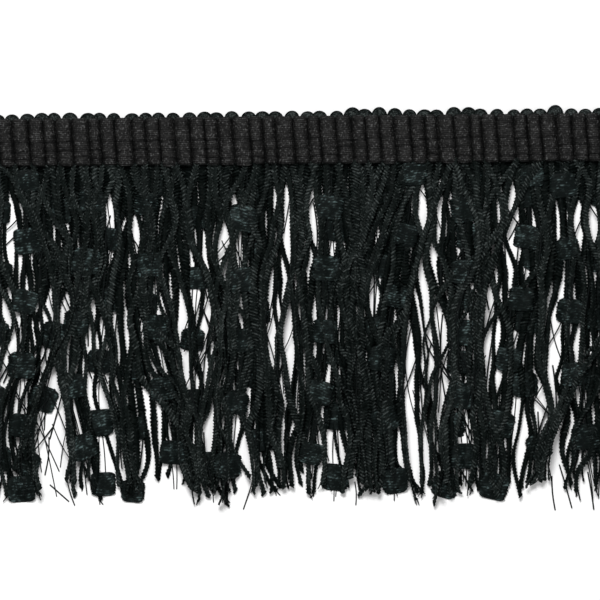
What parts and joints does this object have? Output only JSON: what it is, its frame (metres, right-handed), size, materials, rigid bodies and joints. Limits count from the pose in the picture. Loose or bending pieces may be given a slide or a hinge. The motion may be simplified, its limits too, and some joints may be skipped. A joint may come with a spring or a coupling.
{
  "type": "fringe trim",
  "caption": "Cut length of fringe trim: a ribbed woven heading with weft loops along its top and a deep skirt of chainette cords and flag yarns below.",
  "frame": {"origin": "middle of the heading's flat back", "axes": "+X along the trim, +Y from the fringe toward the heading's loops, +Z off the surface it lies on"},
  "size_m": [0.1709, 0.1066, 0.0045],
  "materials": {
    "heading_yarn": "ribbed black weave with a dull thread texture",
    "fringe_yarn": "satin black knitted cord with a green-blue sheen"
  },
  "bodies": {
    "root": {"heading": "heading_yarn", "fringe_back": "fringe_yarn", "fringe_front": "fringe_yarn"}
  },
  "joints": []
}
